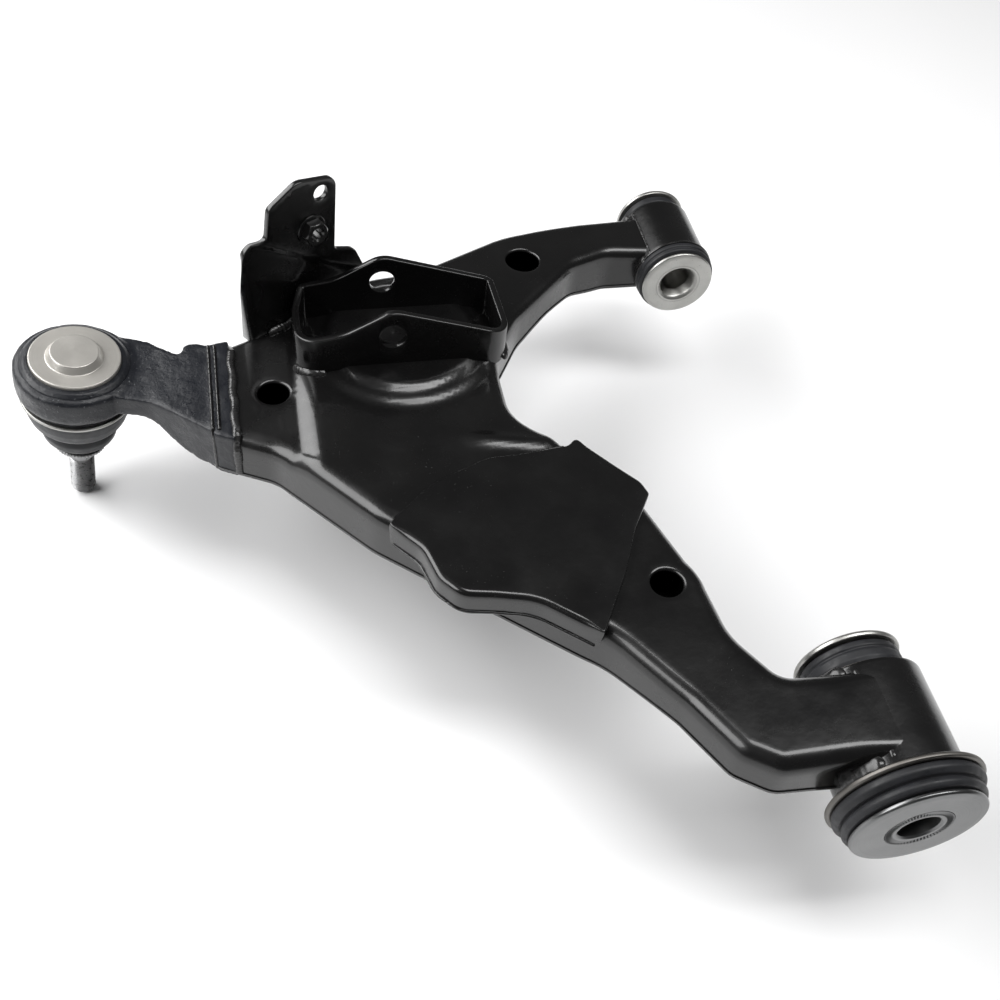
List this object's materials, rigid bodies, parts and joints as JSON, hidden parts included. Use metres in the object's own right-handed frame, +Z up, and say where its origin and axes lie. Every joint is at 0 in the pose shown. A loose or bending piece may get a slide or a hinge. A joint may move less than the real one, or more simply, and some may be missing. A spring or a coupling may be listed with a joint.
{
  "type": "suspension control arm",
  "caption": "Pressed-steel suspension control arm: forked box-section body with rubber pivot bushes, a ball joint at the tip, a shock absorber bracket and a stabiliser link bracket.",
  "frame": {"origin": "centre of the large bush's bore, on the pivot axis", "axes": "+Y along the pivot axis to the small bush, -X out to the ball joint, +Z up, the brackets standing on the upper side"},
  "size_m": [0.4409, 0.45, 0.1962],
  "materials": {
    "black_paint": "gloss",
    "forging_paint": "satin",
    "zinc_steel": "satin",
    "machined_steel": "turned",
    "stud_steel": "satin",
    "spring_steel": "satin",
    "bush_rubber": "matte",
    "boot_rubber": "matte",
    "bearing_resin": "matte"
  },
  "bodies": {
    "arm": {"upper_shell": "black_paint", "lower_shell": "black_paint", "reinforcement_plate": "black_paint", "forged_end": "forging_paint", "shock_bracket": "black_paint", "link_bracket": "black_paint", "link_bracket_weld_nut": "black_paint", "large_bush_housing": "black_paint", "small_bush_housing": "black_paint", "large_bush_outer_sleeve": "black_paint", "large_bush_rubber": "bush_rubber", "small_bush_outer_sleeve": "black_paint", "small_bush_rubber": "bush_rubber", "ball_joint_cover": "machined_steel", "preload_spring": "spring_steel", "upper_bearing_seat": "bearing_resin", "lower_bearing_seat": "bearing_resin", "boot_large_ring": "spring_steel"},
    "large_bush_inner": {"large_bush_inner_sleeve": "zinc_steel", "large_bush_near_washer": "zinc_steel", "large_bush_far_washer": "zinc_steel"},
    "small_bush_inner": {"small_bush_inner_sleeve": "zinc_steel", "small_bush_near_washer": "zinc_steel", "small_bush_far_washer": "zinc_steel"},
    "boot": {"dust_boot": "boot_rubber"},
    "boot_neck": {"boot_small_ring": "spring_steel"},
    "stud": {"ball_stud": "stud_steel"}
  },
  "joints": [
    {"name": "large_bush_twist", "type": "hinge", "parent": "arm", "child": "large_bush_inner", "pos_m": [0, 0, 0], "axis": [0, 1, 0], "range_deg": [-25, 25], "stiffness_Nm_per_rad": 60},
    {"name": "small_bush_twist", "type": "hinge", "parent": "arm", "child": "small_bush_inner", "pos_m": [0, 0.37, 0], "axis": [0, 1, 0], "range_deg": [-25, 25], "stiffness_Nm_per_rad": 35},
    {"name": "ball_joint_swing_x", "type": "hinge", "parent": "arm", "child": "boot", "pos_m": [-0.3705, 0.27373, 0.00916], "axis": [0.992, 0, -0.1262], "range_deg": [-20, 20], "deforming": ["dust_boot"]},
    {"name": "ball_joint_swing_y", "type": "hinge", "parent": "boot", "child": "boot_neck", "pos_m": [-0.3705, 0.27373, 0.00916], "axis": [0.0035, 0.9996, 0.0277], "range_deg": [-20, 20]},
    {"name": "ball_joint_spin", "type": "hinge", "parent": "boot_neck", "child": "stud", "pos_m": [-0.3705, 0.27373, 0.00916], "axis": [0.1262, -0.0279, 0.9916], "continuous": true}
  ]
}
